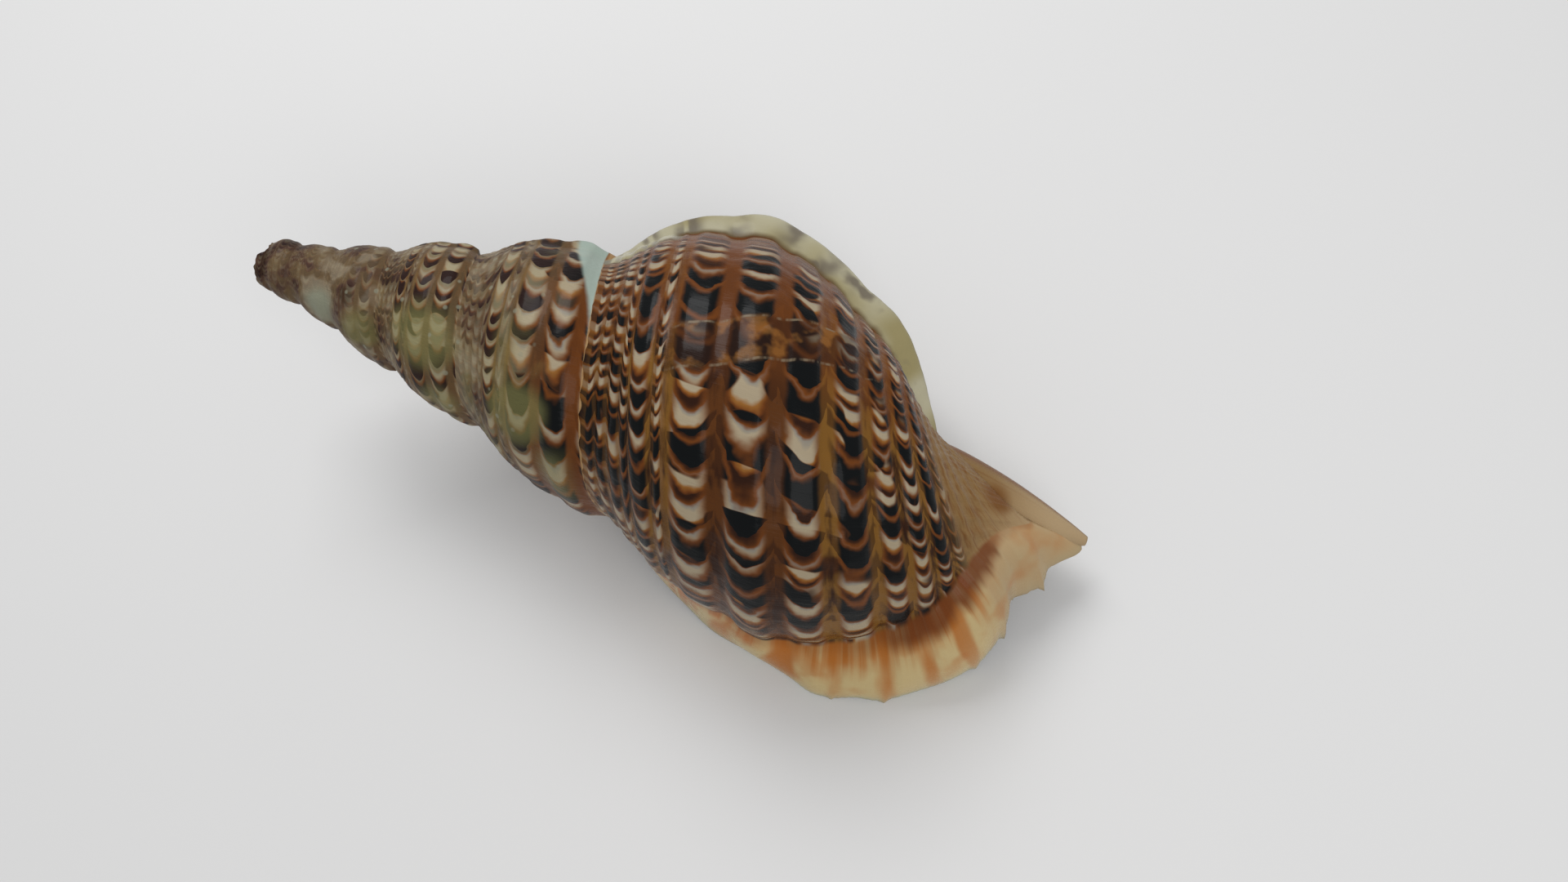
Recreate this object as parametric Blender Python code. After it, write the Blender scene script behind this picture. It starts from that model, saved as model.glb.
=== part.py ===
"""Triton shell with a broken apex and a flared outer lip, lying on its aperture.

The shell grew as one tube that winds around an axis and gets bigger by the same factor each
turn, so one outline of the last whorl, scaled and turned, gives the whole outside. Lengths are
in metres. The shell is first built on its own axis: the point where the cone would end is the
origin, +Z runs down to the canal and +X points at the outer lip. Turns are counted from the
lip, so turn 0 is the lip, turn -0.5 is half a whorl older, and angles follow the growth.
At the end the shell is laid down as it rests, with its longest side along X.
"""

import math

import bmesh
import bpy
import numpy as np
from mathutils import Euler, Matrix

# How the tube grows
GROWTH = 1.4686
SUTURE_HEIGHT = 0.1500
TIP_HEIGHT = 0.3000
OLDEST_TURN = -6.70
SOLID_TURN = -0.85

# Outline of the last whorl at the lip: height along the axis and radius
WHORL_HEIGHTS = (
    0.150, 0.157, 0.168, 0.182, 0.196, 0.210, 0.2203,
    0.234, 0.249, 0.264, 0.276, 0.285, 0.294, 0.300,
)
WHORL_RADII = (
    0.0425, 0.0458, 0.0529, 0.0592, 0.0618, 0.0646, 0.0624,
    0.0580, 0.0494, 0.0411, 0.0288, 0.0209, 0.0158, 0.0125,
)

# Where the last whorl bulges, and where it shifts down the axis: share, middle turn and reach
BULGES = ((0.046, -0.5, 0.5), (0.033, -0.25, 0.25))
SHIFTS = ((0.018, -0.12, 0.22), (-0.012, -0.35, 0.25))
SWELL_DEPTH = 0.022

# The oldest whorls are blunter than the rest
BLUNT_HEIGHT = 0.035
BLUNT_LENGTH = 0.014
BLUNT_SWELL = 0.35
BLUNT_CURVE = 1.5

# Spiral ribs at the lip: height and width; the first of them run on up the spire
RIBS = (
    (0.1600, 0.007), (0.1720, 0.007), (0.1890, 0.013), (0.2070, 0.014),
    (0.2245, 0.012), (0.2395, 0.010), (0.2510, 0.007), (0.2610, 0.006),
)
WIDE_RIB = 0.009
WIDE_RIB_ROWS = (-0.5, -0.22, 0.22, 0.5)
RIB_RISE = 0.0014
RIB_CREST = 0.35
RIB_SLOPE = 0.75
RIB_FLOOR = 0.0008
FLOOR_START = 0.008
FLOOR_END = 0.03
CANAL_ROWS = (0.268, 0.276, 0.285, 0.294, 0.300)
ROW_GAP = 0.0095
STEPS_PER_TURN = 20

# Old lips, left every half turn: turn and strength, and how far a full one rises
VARICES = ((-0.51, 1.0), (-1.0, 0.20), (-1.47, 0.33), (-2.48, 0.28), (-3.0, 0.22))
VARIX_HEIGHTS = (0.150, 0.160, 0.172, 0.185, 0.205, 0.240, 0.262, 0.280, 0.292, 0.300)
VARIX_RISES = (0.0, 0.0022, 0.0055, 0.0090, 0.0118, 0.0128, 0.0146, 0.0128, 0.0070, 0.0)
VARIX_BACK = 0.050
VARIX_FRONT = 0.018

# The wall of the last whorl springs from the solid core under a low ridge of its own
WALL_START_TURNS = (-0.890, -0.870, -0.850, -0.830, -0.805, -0.780)
WALL_START_RISES = (-0.0018, 0.0005, 0.0014, 0.0009, 0.0003, 0.0)
WALL_STEPS = 21
VARIX_SPAN = (-0.59, -0.47)
VARIX_STEPS = (-0.585, -0.56, -0.54, -0.525, -0.51, -0.502, -0.492, -0.475)
WALL_THICKNESS = 0.0026
LIP_THICKNESS = 0.0014
SUTURE_ROOT = (0.1470, 0.0390)
CANAL_ROOT = (0.3010, 0.0050)

# The groove where the lip starts to flare: height on the whorl and angle from +X
GROOVE_HEIGHTS = (0.150, 0.195, 0.222, 0.236, 0.250, 0.262, 0.271, 0.283, 0.300)
GROOVE_ANGLES = (-4.0, -10.0, -10.0, -13.0, -23.0, -38.0, -53.0, -66.0, -77.0)
GROOVE_REACH = 0.45

# Edge of the flared lip, one point for each height in the groove it springs from
LIP_HEIGHTS = (
    0.147, 0.150, 0.160, 0.170, 0.182, 0.195, 0.208, 0.220, 0.230, 0.238,
    0.245, 0.252, 0.260, 0.267, 0.274, 0.281, 0.288, 0.294, 0.300, 0.301,
)
LIP_EDGE = (
    (0.0385, 0.0085, 0.1480), (0.0430, 0.0095, 0.1508), (0.0545, 0.0130, 0.1620),
    (0.0615, 0.0150, 0.1710), (0.0685, 0.0170, 0.1830), (0.0735, 0.0155, 0.1945),
    (0.0758, 0.0130, 0.2090), (0.0784, 0.0095, 0.2230), (0.0803, 0.0060, 0.2340),
    (0.0775, 0.0042, 0.2445), (0.0745, 0.0040, 0.2550), (0.0680, 0.0045, 0.2650),
    (0.0585, 0.0045, 0.2765), (0.0485, 0.0015, 0.2825), (0.0375, -0.0020, 0.2840),
    (0.0285, -0.0040, 0.2840), (0.0205, -0.0050, 0.2895), (0.0130, -0.0040, 0.2925),
    (0.0045, -0.0010, 0.2988), (0.0030, -0.0012, 0.2970),
)
FLARE_STEPS = (0.12, 0.35, 0.62, 0.84, 1.0)
FLARE_ARCH = 0.30
FLARE_CREST = 0.45
ARCH_START = 0.185
ARCH_EASE = 0.045
ARCH_END_EASE = 0.012

# The pillar that the whorls wind around, from inside the spire down to the canal's tip
PILLAR_HEIGHTS = (0.130, 0.160, 0.190, 0.215, 0.248, 0.262, 0.275, 0.288, 0.296, 0.300)
PILLAR_RADII = (0.0060, 0.0090, 0.0120, 0.0140, 0.0130, 0.0112, 0.0090, 0.0058, 0.0032, 0.0016)
PILLAR_SIDES = 16
PILLAR_BEND_START = 0.248
PILLAR_BEND = 0.0030

# The hollow, which goes on inside the older whorls
CHAMBER_END = -2.35
CHAMBER_START = -0.77
CHAMBER_WALL = 0.0050
CHAMBER_GAP = 0.0040
CHAMBER_STEPS = 22
CHAMBER_TOP = 0.162
CHAMBER_BOTTOM = 0.272
CHAMBER_INNER_TOP = 0.165
CHAMBER_INNER_BOTTOM = 0.268
CHAMBER_CORE = 0.0140
CHAMBER_OUTER_POINTS = 8
CHAMBER_INNER_POINTS = 6

# How the shell lies: pitch of its axis and roll about it, in degrees
REST_PITCH = 10.8
REST_ROLL = 110.0
REST_WEAR = 0.0004
MERGE_DISTANCE = 0.00002

# Where the apex is broken off, and the channel that the canal leaves beside the pillar
BREAK_SIDES = 24
BREAK_JAGS = ((3.0, 0.6, 1.0), (7.0, 0.0, 0.7), (11.0, 1.9, 0.5))
BREAK_RINGS = (
    (0.030, -0.010, 0.0), (0.030, 0.0175, 0.0), (0.0080, 0.0180, 0.0007),
    (0.0052, 0.0185, 0.0009), (0.0038, 0.0210, 0.0003),
)
CHANNEL_SIDES = 12
CANAL_CHANNEL = (
    ((0.0165, -0.0010, 0.236), 0.0070), ((0.0130, 0.0, 0.260), 0.0060),
    ((0.0085, 0.0020, 0.284), 0.0048), ((0.0055, 0.0040, 0.306), 0.0042),
)

SHELL_COLOUR = (0.36, 0.22, 0.12, 1.0)
SHELL_ROUGHNESS = 0.35
SHARP_ANGLE = 40.0


# Curves and surfaces

def smooth_step(amount):
    """Ease from 0 to 1 as amount goes from 0 to 1."""
    amount = np.clip(amount, 0.0, 1.0)
    return amount * amount * (3.0 - 2.0 * amount)


def hump(turn, middle, reach):
    """A round hump that is 1 at the middle and 0 at the reach on either side."""
    away = np.clip(np.abs(turn - middle) / reach, 0.0, 1.0)
    return (1.0 + np.cos(np.pi * away)) / 2.0


def total(humps, turn):
    """Add up humps that are given as share, middle and reach."""
    return sum(share * hump(turn, middle, reach) for share, middle, reach in humps)


def smooth_curve(place, knots, values):
    """Follow a smooth curve that has the given values at its knots."""
    knots = np.asarray(knots)
    values = np.asarray(values)
    slopes = np.gradient(values, knots, axis=0)
    place = np.clip(np.asarray(place, dtype=float), knots[0], knots[-1])
    left = np.clip(np.searchsorted(knots, place) - 1, 0, len(knots) - 2)
    span = knots[left + 1] - knots[left]
    part = (place - knots[left]) / span
    if values.ndim > 1:
        span = span[..., None]
        part = part[..., None]
    rest = 1.0 - part
    bend_left = slopes[left] * span * part * rest * rest
    bend_right = slopes[left + 1] * span * part * part * rest
    mix = part * part * (3.0 - 2.0 * part)
    return values[left] * (1.0 - mix) + values[left + 1] * mix + bend_left - bend_right


def whorl_radius(height):
    """Radius of the last whorl at the lip, without its ribs."""
    return smooth_curve(height, WHORL_HEIGHTS, WHORL_RADII)


def whorl_point(turn, height, radius):
    """Place a point of the last whorl's outline on the whorl of any turn."""
    size = GROWTH ** turn
    low = smooth_step((height - SUTURE_HEIGHT) / SWELL_DEPTH)
    along = height * size * (1.0 + low * total(SHIFTS, turn))
    blunt = np.clip((BLUNT_HEIGHT - along) / BLUNT_LENGTH, 0.0, 1.0) ** BLUNT_CURVE
    out = radius * size * (1.0 + low * total(BULGES, turn)) * (1.0 + BLUNT_SWELL * blunt)
    angle = 2.0 * np.pi * turn
    return np.stack((out * np.cos(angle), out * np.sin(angle), along), axis=-1)


def grid_normals(points):
    """Outward direction at each point of a grid of turns by heights."""
    across = np.cross(np.gradient(points, axis=0), np.gradient(points, axis=1))
    return across / np.linalg.norm(across, axis=-1, keepdims=True)


def rib_rise(height):
    """How far the spiral ribs stand out at a height of the last whorl's outline."""
    rise = np.zeros_like(height)
    for middle, width in RIBS:
        away = np.abs(height - middle) / (width / 2.0)
        rise = np.maximum(rise, RIB_RISE * (1.0 - smooth_step((away - RIB_CREST) / RIB_SLOPE)))
    fade = smooth_step((height - SUTURE_HEIGHT) / FLOOR_START) * smooth_step((TIP_HEIGHT - height) / FLOOR_END)
    return rise - RIB_FLOOR * fade


def varix_rise(turn, height):
    """How far the old lips stand out, steep on the side that grew last."""
    reach = smooth_curve(height, VARIX_HEIGHTS, VARIX_RISES)
    rise = np.zeros_like(turn + height)
    for middle, strength in VARICES:
        back = 1.0 - smooth_step((middle - turn) / VARIX_BACK)
        front = 1.0 - smooth_step((turn - middle) / VARIX_FRONT)
        rise += strength * np.minimum(back, front)
    return rise * reach


def outline_rows():
    """Heights at which the outline is sampled: wide ribs by their edges, others by their middle."""
    rows = [SUTURE_HEIGHT]
    for middle, width in RIBS:
        if width > WIDE_RIB:
            rows += [middle + width * share for share in WIDE_RIB_ROWS]
        else:
            rows += [middle]
    rows += CANAL_ROWS
    rows = np.array(rows)
    wide_gaps = np.diff(rows) > ROW_GAP
    return np.sort(np.concatenate((rows, (rows[:-1] + rows[1:])[wide_gaps] / 2.0)))


# Meshes

def mesh_object(name, bm, guide=True):
    """Turn a bmesh into an object; a guide only shapes another object."""
    bmesh.ops.recalc_face_normals(bm, faces=bm.faces)
    mesh = bpy.data.meshes.new(name)
    bm.to_mesh(mesh)
    bm.free()
    thing = bpy.data.objects.new(name, mesh)
    bpy.context.scene.collection.objects.link(thing)
    if guide:
        thing.hide_render = True
        thing.display_type = 'WIRE'
    return thing


def skin(name, rings):
    """Close a row of rings of points into a solid with flat ends."""
    bm = bmesh.new()
    loops = [[bm.verts.new(point) for point in ring] for ring in rings]
    count = len(loops[0])
    for one, two in zip(loops, loops[1:]):
        for a in range(count):
            b = (a + 1) % count
            bm.faces.new((one[a], one[b], two[b], two[a]))
    bm.faces.new(loops[0])
    bm.faces.new(loops[-1])
    return mesh_object(name, bm)


def sheet(name, outer, inner):
    """Close two grids of points, outer and inner, into a plate."""
    bm = bmesh.new()
    sides = [[[bm.verts.new(point) for point in column] for column in grid] for grid in (outer, inner)]
    for side in sides:
        for left, right in zip(side, side[1:]):
            for row in range(len(left) - 1):
                bm.faces.new((left[row], right[row], right[row + 1], left[row + 1]))
    outer_edge = rim(sides[0])
    inner_edge = rim(sides[1])
    for a in range(len(outer_edge)):
        b = (a + 1) % len(outer_edge)
        bm.faces.new((outer_edge[a], outer_edge[b], inner_edge[b], inner_edge[a]))
    return mesh_object(name, bm)


def rim(side):
    """The vertices around the border of a grid, in order."""
    top = [column[0] for column in side]
    end = side[-1][1:-1]
    bottom = [column[-1] for column in side]
    start = side[0][1:-1]
    return top + end + bottom[::-1] + start[::-1]


def combine(target, tool, operation):
    """Join a guide to the target, or cut it out."""
    modifier = target.modifiers.new(tool.name, 'BOOLEAN')
    modifier.operation = operation
    modifier.object = tool


# Pieces of the form

def spire_and_core():
    """The whorls older than the last one, filled, closed by a flat face where the last one starts."""
    columns = round((SOLID_TURN - OLDEST_TURN) * STEPS_PER_TURN)
    rows = outline_rows()
    next_suture = GROWTH * SUTURE_HEIGHT
    whorl_rows = int(np.searchsorted(rows, next_suture))
    rows = np.insert(rows, whorl_rows, next_suture)
    turns = OLDEST_TURN + np.arange(columns + 1)[:, None] / STEPS_PER_TURN
    heights = rows[None, :] + 0.0 * turns
    base = whorl_point(turns, heights, whorl_radius(heights))
    rise = (rib_rise(heights) + varix_rise(turns, heights)) * GROWTH ** turns
    points = base + grid_normals(base) * rise[..., None]
    bm = bmesh.new()
    verts = {}
    open_from = columns - STEPS_PER_TURN

    def vert(column, row):
        if row == whorl_rows and column + STEPS_PER_TURN <= columns:
            column += STEPS_PER_TURN
            row = 0
        if (column, row) not in verts:
            verts[column, row] = bm.verts.new(points[column, row])
        return verts[column, row]

    axis = {}
    for column in range(open_from, columns + 1):
        height = TIP_HEIGHT * GROWTH ** turns[column, 0]
        axis[column] = bm.verts.new((0.0, 0.0, height))
    for column in range(columns):
        last_row = len(rows) - 1 if column >= open_from else whorl_rows
        for row in range(last_row):
            top = [vert(column, row), vert(column + 1, row)]
            bottom = [vert(column + 1, row + 1), vert(column, row + 1)]
            bm.faces.new(top + bottom)
        if column >= open_from:
            bm.faces.new((vert(column, last_row), vert(column + 1, last_row), axis[column + 1], axis[column]))
    young = [vert(columns, row) for row in range(len(rows))]
    old = [vert(open_from, row) for row in range(whorl_rows + 1, len(rows))]
    bm.faces.new(young + [axis[column] for column in range(columns, open_from - 1, -1)] + old[::-1])
    point_end = bm.verts.new((0.0, 0.0, points[0, 0, 2]))
    start = [vert(0, row) for row in range(whorl_rows + 1)]
    start += [vert(column, 0) for column in range(STEPS_PER_TURN - 1, 0, -1)]
    for a in range(len(start)):
        bm.faces.new((start[a], start[(a + 1) % len(start)], point_end))
    return mesh_object('shell', bm, guide=False)


def pillar():
    """The solid pillar inside the whorls, down to the tip of the canal."""
    angles = np.arange(PILLAR_SIDES) * 2.0 * np.pi / PILLAR_SIDES
    rings = []
    for height, radius in zip(PILLAR_HEIGHTS, PILLAR_RADII):
        bend = PILLAR_BEND * smooth_step((height - PILLAR_BEND_START) / (TIP_HEIGHT - PILLAR_BEND_START))
        ring = np.stack((bend + radius * np.cos(angles), radius * np.sin(angles), height + 0.0 * angles), axis=-1)
        rings.append(ring)
    return skin('pillar', rings)


def last_wall():
    """The wall of the last whorl with its ribs and old lip, and the lip that flares from it."""
    steps = np.linspace(WALL_START_TURNS[-1], 0.0, WALL_STEPS)
    steps = steps[(steps < VARIX_SPAN[0]) | (steps > VARIX_SPAN[1])]
    steps = np.sort(np.concatenate((WALL_START_TURNS, steps[1:], VARIX_STEPS)))
    rows = outline_rows()
    radii = whorl_radius(rows)
    rows = np.concatenate((SUTURE_ROOT[:1], rows, CANAL_ROOT[:1]))
    radii = np.concatenate((SUTURE_ROOT[1:], radii, CANAL_ROOT[1:]))
    lean = smooth_step(steps / GROOVE_REACH + 1.0)[:, None]
    turns = steps[:, None] + lean * smooth_curve(rows, GROOVE_HEIGHTS, GROOVE_ANGLES)[None, :] / 360.0
    heights = rows[None, :] + 0.0 * turns
    base = whorl_point(turns, heights, radii[None, :])
    start = np.interp(steps, WALL_START_TURNS, WALL_START_RISES)[:, None]
    rise = start + (rib_rise(heights) + varix_rise(turns, heights)) * GROWTH ** turns
    normals = grid_normals(base)
    outer = base + normals * rise[..., None]
    inner = base - normals * WALL_THICKNESS
    flare_out, flare_in = flared_lip(outer[-1], inner[-1], normals[-1], rows)
    return sheet('last_wall', np.concatenate((outer, flare_out)), np.concatenate((inner, flare_in)))


def flared_lip(groove, groove_inner, normals, rows):
    """The flare from the groove to the lip's edge, outer and inner side."""
    edge = smooth_curve(rows, LIP_HEIGHTS, LIP_EDGE)
    out = edge - groove
    width = np.linalg.norm(out, axis=-1, keepdims=True)
    arch = FLARE_ARCH * smooth_step((rows - ARCH_START) / ARCH_EASE)
    arch = arch * smooth_step((TIP_HEIGHT - rows) / ARCH_END_EASE)
    crest = groove + out * FLARE_CREST + normals * width * arch[:, None]
    outer = []
    for step in FLARE_STEPS:
        outer.append(groove * (1.0 - step) ** 2 + crest * 2.0 * step * (1.0 - step) + edge * step ** 2)
    outer = np.stack(outer)
    full = np.concatenate((groove[None], outer))
    down = grid_normals(full)[1:]
    thickness = WALL_THICKNESS + (LIP_THICKNESS - WALL_THICKNESS) * np.array(FLARE_STEPS)
    inner = outer - down * thickness[:, None, None]
    return outer, inner


def chamber():
    """The hollow of the whorl before the last one, as a solid to cut out."""
    outer_rows = np.linspace(CHAMBER_TOP, CHAMBER_BOTTOM, CHAMBER_OUTER_POINTS)
    outer_radii = whorl_radius(outer_rows) - CHAMBER_WALL
    inner_rows = np.linspace(CHAMBER_INNER_BOTTOM, CHAMBER_INNER_TOP, CHAMBER_INNER_POINTS)
    inside = whorl_radius(inner_rows * GROWTH) / GROWTH
    inner_radii = np.maximum(inside, CHAMBER_CORE) + CHAMBER_GAP
    heights = np.concatenate((outer_rows, inner_rows))
    radii = np.concatenate((outer_radii, inner_radii))
    turns = np.linspace(CHAMBER_END, CHAMBER_START, CHAMBER_STEPS)
    return skin('chamber', [whorl_point(turn + 0.0 * heights, heights, radii) for turn in turns])


def canal_channel():
    """The open channel of the canal beside the pillar, as a solid to cut out."""
    angles = np.arange(CHANNEL_SIDES) * 2.0 * np.pi / CHANNEL_SIDES
    rings = []
    for middle, radius in CANAL_CHANNEL:
        ring = np.stack((np.cos(angles), np.sin(angles), 0.0 * angles), axis=-1) * radius + np.array(middle)
        rings.append(ring)
    return skin('canal_channel', rings)


def broken_apex():
    """The rough end where the apex broke away, as a solid to cut out."""
    angles = np.arange(BREAK_SIDES) * 2.0 * np.pi / BREAK_SIDES
    jag = sum(share * np.sin(count * angles + shift) for count, shift, share in BREAK_JAGS)
    rings = []
    for radius, height, rough in BREAK_RINGS:
        ring = np.stack((radius * np.cos(angles), radius * np.sin(angles), height + rough * jag), axis=-1)
        rings.append(ring)
    return skin('broken_apex', rings)


def shell_material():
    """Glazed brown shell."""
    material = bpy.data.materials.new('shell')
    material.use_nodes = True
    shader = material.node_tree.nodes['Principled BSDF']
    shader.inputs['Base Color'].default_value = SHELL_COLOUR
    shader.inputs['Roughness'].default_value = SHELL_ROUGHNESS
    shader.inputs['Metallic'].default_value = 0.0
    return material


def bake(thing):
    """Make the target's mesh what its modifiers show, and clear its guides away."""
    graph = bpy.context.evaluated_depsgraph_get()
    mesh = bpy.data.meshes.new_from_object(thing.evaluated_get(graph))
    bm = bmesh.new()
    bm.from_mesh(mesh)
    bmesh.ops.remove_doubles(bm, verts=bm.verts, dist=MERGE_DISTANCE)
    bmesh.ops.dissolve_degenerate(bm, edges=bm.edges, dist=MERGE_DISTANCE)
    bmesh.ops.triangulate(bm, faces=bm.faces)
    bm.to_mesh(mesh)
    bm.free()
    guides = [modifier.object for modifier in thing.modifiers]
    thing.modifiers.clear()
    thing.data = mesh
    for guide in guides:
        bpy.data.objects.remove(guide)


def lay_down(thing):
    """Turn the shell as it rests, with the origin at the middle of its footprint."""
    upright = Matrix(((0.0, 0.0, 1.0), (0.0, -1.0, 0.0), (1.0, 0.0, 0.0)))
    turned = Euler((math.radians(REST_ROLL), math.radians(REST_PITCH), 0.0)).to_matrix() @ upright
    thing.data.transform(turned.to_4x4())
    corners = np.array([vertex.co for vertex in thing.data.vertices])
    low = corners.min(axis=0)
    high = corners.max(axis=0)
    middle = (low + high) / 2.0
    thing.data.transform(Matrix.Translation((-middle[0], -middle[1], -low[2] - REST_WEAR)))


def rest_block():
    """A block below the floor, which takes the wear off the places that the shell rests on."""
    bm = bmesh.new()
    bmesh.ops.create_cube(bm, size=1.0)
    bmesh.ops.translate(bm, verts=bm.verts, vec=(0.0, 0.0, -0.5))
    return mesh_object('rest_block', bm)


def build():
    """Build the shell and lay it down."""
    for thing in list(bpy.data.objects):
        bpy.data.objects.remove(thing)
    shell = spire_and_core()
    combine(shell, pillar(), 'UNION')
    combine(shell, last_wall(), 'UNION')
    combine(shell, chamber(), 'DIFFERENCE')
    combine(shell, canal_channel(), 'DIFFERENCE')
    combine(shell, broken_apex(), 'DIFFERENCE')
    bake(shell)
    lay_down(shell)
    combine(shell, rest_block(), 'DIFFERENCE')
    bake(shell)
    shell.data.shade_smooth()
    shell.data.set_sharp_from_angle(angle=math.radians(SHARP_ANGLE))
    shell.data.materials.clear()
    shell.data.materials.append(shell_material())
    shell.name = 'shell'


build()
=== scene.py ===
"""The looks of a triton shell with a broken apex and a flared lip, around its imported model."""

import math

import bmesh
import bpy
import numpy as np
from mathutils import Euler, Matrix, Vector


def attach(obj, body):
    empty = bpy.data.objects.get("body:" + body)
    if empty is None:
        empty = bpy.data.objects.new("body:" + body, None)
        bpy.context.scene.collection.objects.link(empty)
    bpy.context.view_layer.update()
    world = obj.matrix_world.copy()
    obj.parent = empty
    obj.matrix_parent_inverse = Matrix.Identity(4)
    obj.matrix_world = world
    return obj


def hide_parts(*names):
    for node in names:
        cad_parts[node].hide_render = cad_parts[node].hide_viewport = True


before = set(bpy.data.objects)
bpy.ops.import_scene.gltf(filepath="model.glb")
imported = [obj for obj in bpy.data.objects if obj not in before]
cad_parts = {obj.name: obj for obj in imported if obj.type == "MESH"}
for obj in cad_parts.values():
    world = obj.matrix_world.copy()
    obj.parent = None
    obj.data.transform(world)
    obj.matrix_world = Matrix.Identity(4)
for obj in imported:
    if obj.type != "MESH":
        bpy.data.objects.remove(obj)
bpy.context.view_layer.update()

# Camera
# The photograph looks steeply down on the back of the shell from the side of its lip, from a little
# over one shell's length away. These are its place and turn in the part's own frame.
camera_data = bpy.data.cameras.new('camera')
camera_data.sensor_width = 36.0
camera_data.lens = 24.19
camera_data.clip_start = 0.01
camera = bpy.data.objects.new('camera', camera_data)
camera.location = (0.10751, -0.09838, 0.35916)
camera.rotation_euler = Euler((math.radians(19.964), math.radians(6.221), math.radians(17.891)))
bpy.context.scene.collection.objects.link(camera)
bpy.context.scene.camera = camera

# Spire
# The older whorls, which taper to the broken apex, and the part of the last whorl that carries the
# mouth's inner side. It is chalky shell, laid down turn by turn in one spiral sheet, each whorl
# welded to the one before along the suture. Its glaze is worn dull and green with algae.
GROWTH = 1.4686
SUTURE_HEIGHT = 0.1500
NEXT_SUTURE = GROWTH * SUTURE_HEIGHT
TIP_HEIGHT = 0.3000
WHORL_HEIGHTS = (
    0.150, 0.157, 0.168, 0.182, 0.196, 0.210, 0.2203,
    0.234, 0.249, 0.264, 0.276, 0.285, 0.294, 0.300,
)
WHORL_RADII = (
    0.0425, 0.0458, 0.0529, 0.0592, 0.0618, 0.0646, 0.0624,
    0.0580, 0.0494, 0.0411, 0.0288, 0.0209, 0.0158, 0.0125,
)
# How much a whorl swells and shifts near the lip: share, middle turn and reach
BULGES = ((0.046, -0.5, 0.5), (0.033, -0.25, 0.25))
SHIFTS = ((0.018, -0.12, 0.22), (-0.012, -0.35, 0.25))
SWELL_DEPTH = 0.022
# The worn apex tapers less than the spiral
BLUNT_HEIGHT = 0.035
BLUNT_LENGTH = 0.014
BLUNT_SWELL = 0.35
BLUNT_CURVE = 1.5
# Spiral ribs: height on the last whorl, width and rise
RIBS = (
    (0.1535, 0.0024, 0.0003), (0.1575, 0.0028, 0.0005), (0.1625, 0.0036, 0.0007),
    (0.1665, 0.0022, 0.0003), (0.1720, 0.0068, 0.0012), (0.1786, 0.0022, 0.0003),
    (0.1890, 0.0130, 0.0015), (0.2070, 0.0140, 0.0015), (0.2245, 0.0120, 0.0015),
    (0.2395, 0.0100, 0.0014), (0.2510, 0.0070, 0.0012), (0.2595, 0.0052, 0.0010),
    (0.2660, 0.0040, 0.0008), (0.2710, 0.0028, 0.0005), (0.2755, 0.0024, 0.0004),
    (0.2800, 0.0022, 0.0003), (0.2850, 0.0022, 0.0002), (0.2900, 0.0022, 0.0002),
)
RIB_SHARE = 0.38
GAP_DEPTH = 0.0003
# How much of their rise the ribs keep, from the worn apex to the last whorl and on an old lip
RIB_TURNS = (-7.0, -4.5, -3.0, -2.0, -1.05, -0.9)
RIB_SHARES = (0.05, 0.10, 0.25, 0.35, 0.45, 0.60)
OLD_LIP_LOSS = 0.8
# Uneven growth: swells to a turn, how much and how often they wander, lean and rise
RIPPLES = ((23.0, 0.4, 31.0, 9.0, 0.00012), (61.0, 0.7, 17.0, 5.0, 0.00008))
# Old lips: turn and strength, and how far a full one stands out at each height
VARICES = ((-0.51, 1.0), (-1.0, 0.20), (-1.47, 0.33), (-2.48, 0.28), (-3.0, 0.22))
VARIX_HEIGHTS = (0.150, 0.160, 0.172, 0.185, 0.205, 0.240, 0.262, 0.280, 0.292, 0.300)
VARIX_RISES = (0.0, 0.0022, 0.0055, 0.0090, 0.0118, 0.0128, 0.0146, 0.0128, 0.0070, 0.0)
VARIX_BACK = 0.050
VARIX_FRONT = 0.018
# How closely the coloured crescents follow each other, in crescents to a turn
BAND_TURNS = (-7.0, -1.05, -0.90, -0.60, -0.53, -0.47, -0.42, -0.36, -0.14, -0.08, -0.02, 0.1)
BAND_COUNTS = (25.0, 26.0, 34.0, 36.0, 70.0, 110.0, 66.0, 36.0, 33.0, 36.0, 55.0, 60.0)
SPIRE_START = -6.90
SPIRE_END = -0.85
SPIRE_STEPS = 160
SPIRE_ROW_SPACING = 0.0013
COVER_EDGE = 0.004
WELD_DISTANCE = 2e-6
# Where the glaze of the mouth starts on the wall that the mouth faces
GLAZE_HEIGHT = 0.1585
GLAZE_TURN = -0.93
GLAZE_END_TURN = -2.0
# Where the apex is broken off, how rough the break is, and how the hollow in the stump narrows
BREAK_HEIGHT = 0.0180
BREAK_ROUGHNESS = 0.0008
BREAK_HOLLOW = ((0.86, 0.0001), (0.72, 0.0012), (0.5, 0.0026))
BREAK_ANGLE = 50.0
# How the shell lies: roll about its axis and pitch of it in degrees, and where its own origin comes
REST_ROLL = 110.0
REST_PITCH = 10.8
REST_PLACE = (-0.15523, 0.00493, 0.07654)


def smooth_step(amount):
    """Ease from 0 to 1 as amount goes from 0 to 1."""
    amount = np.clip(amount, 0.0, 1.0)
    return amount * amount * (3.0 - 2.0 * amount)


def hump(turn, middle, reach):
    """A round hump that is 1 at the middle and 0 at the reach on either side."""
    away = np.clip(np.abs(turn - middle) / reach, 0.0, 1.0)
    return (1.0 + np.cos(np.pi * away)) / 2.0


def total(humps, turn):
    """Add up humps that are given as share, middle and reach."""
    return sum(share * hump(turn, middle, reach) for share, middle, reach in humps)


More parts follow.
